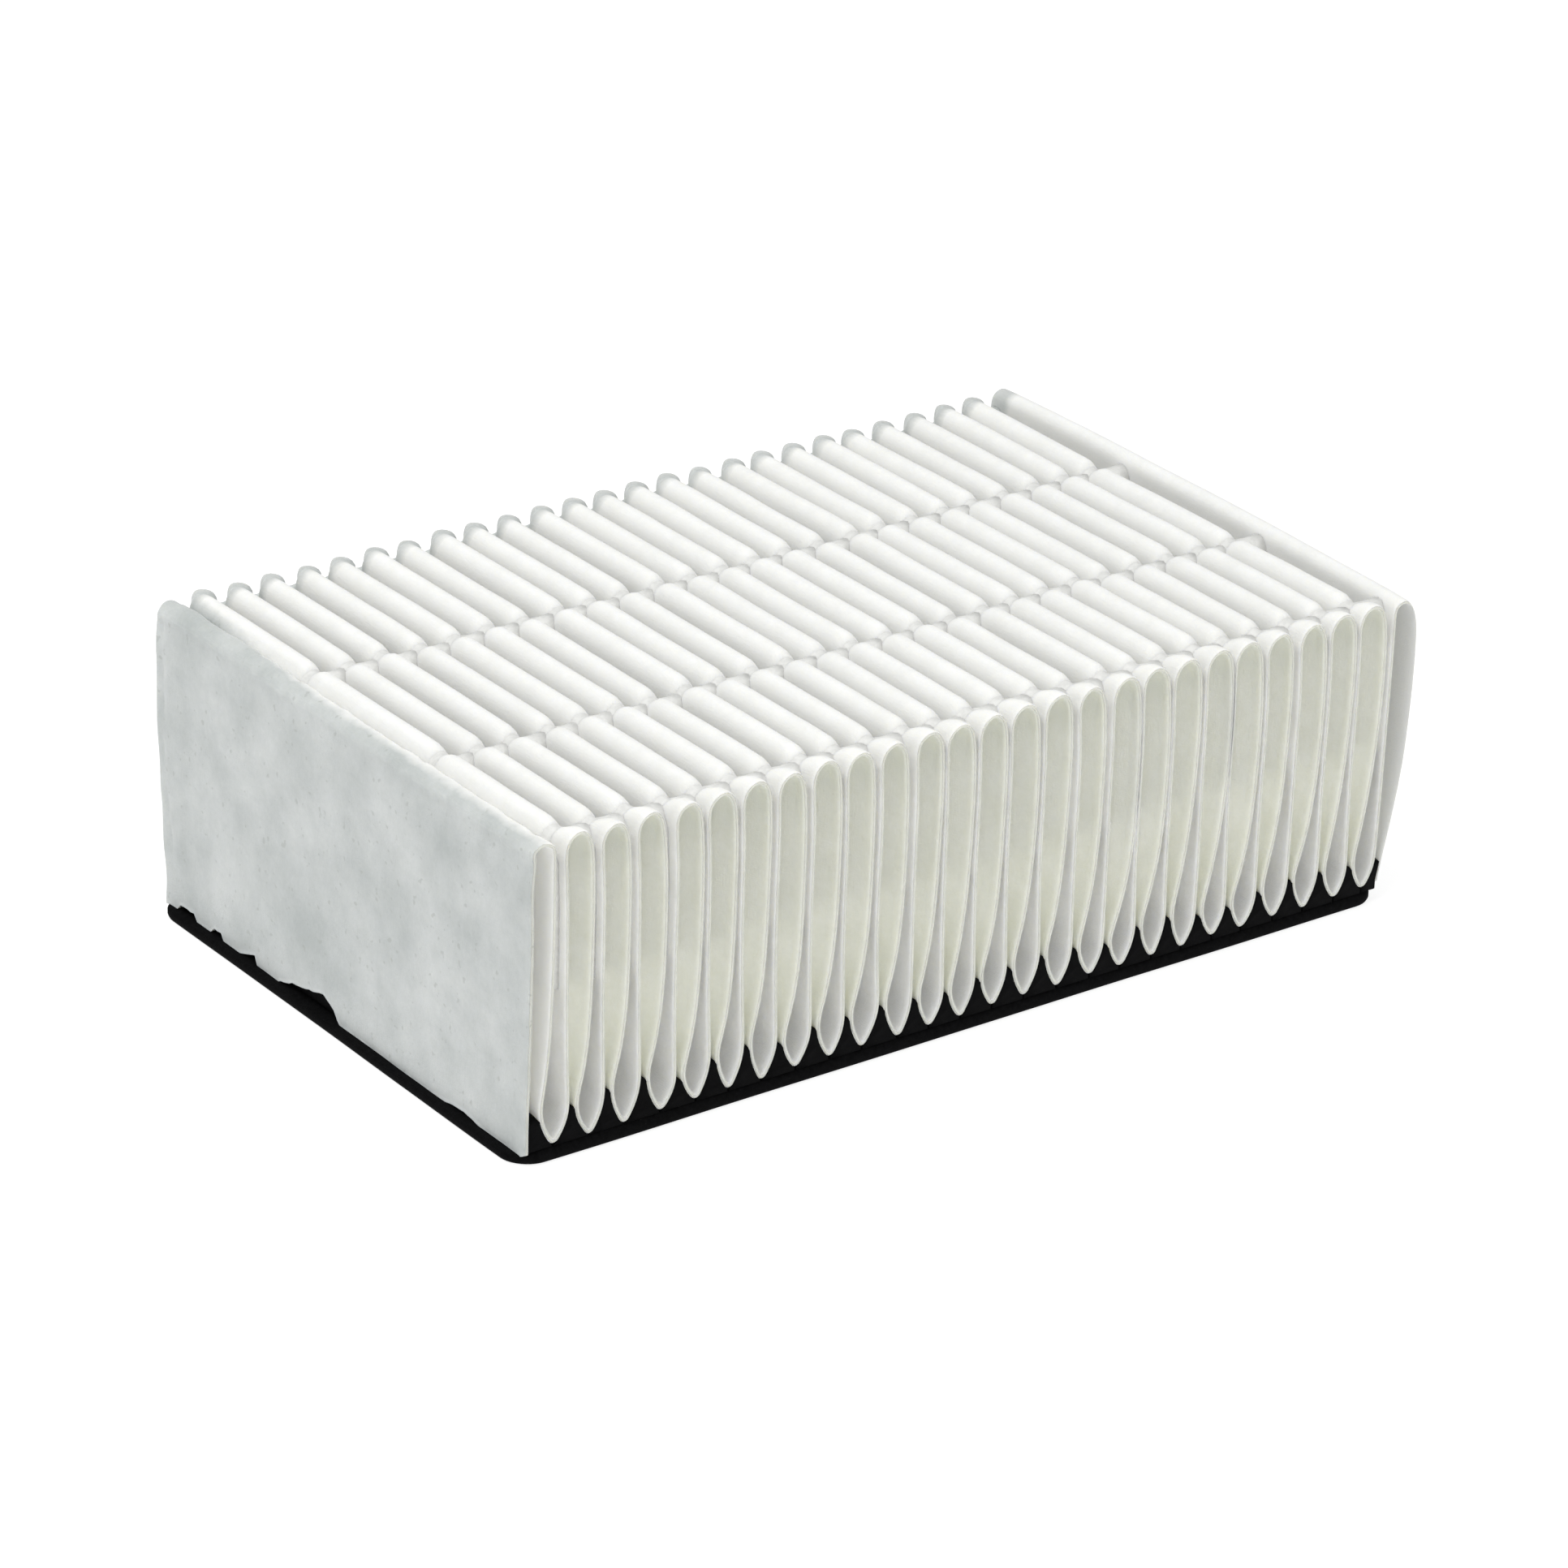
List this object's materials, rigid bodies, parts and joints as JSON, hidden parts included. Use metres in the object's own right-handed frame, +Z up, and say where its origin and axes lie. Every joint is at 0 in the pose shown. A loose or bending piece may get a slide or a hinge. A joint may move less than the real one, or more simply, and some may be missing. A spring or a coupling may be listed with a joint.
{
  "type": "pleated air filter insert",
  "caption": "Rectangular pleated air filter insert: upright white nonwoven pleats, open at the front and back, on a thin soft black gasket frame.",
  "frame": {"origin": "centre of the overall outline, on the gasket frame's lower face", "axes": "+X along the row of pleats towards the bulged last leg, +Y along each fold towards the back, +Z up from the gasket to the crests"},
  "size_m": [0.1036, 0.0614, 0.0325],
  "materials": {
    "filter_fleece": "matte",
    "hot_melt": "satin",
    "black_gasket": "matte",
    "black_sealant": "satin"
  },
  "bodies": {
    "root": {"pleated_media": "filter_fleece", "gasket_frame": "black_gasket", "sealant_front": "black_sealant", "sealant_rear": "black_sealant", "sealant_left": "black_sealant", "sealant_right": "black_sealant", "upper_bead_front": "hot_melt", "upper_bead_mid_front": "hot_melt", "upper_bead_mid_rear": "hot_melt", "upper_bead_rear": "hot_melt", "lower_bead_front": "hot_melt", "lower_bead_mid_front": "hot_melt", "lower_bead_mid_rear": "hot_melt", "lower_bead_rear": "hot_melt"}
  },
  "joints": []
}
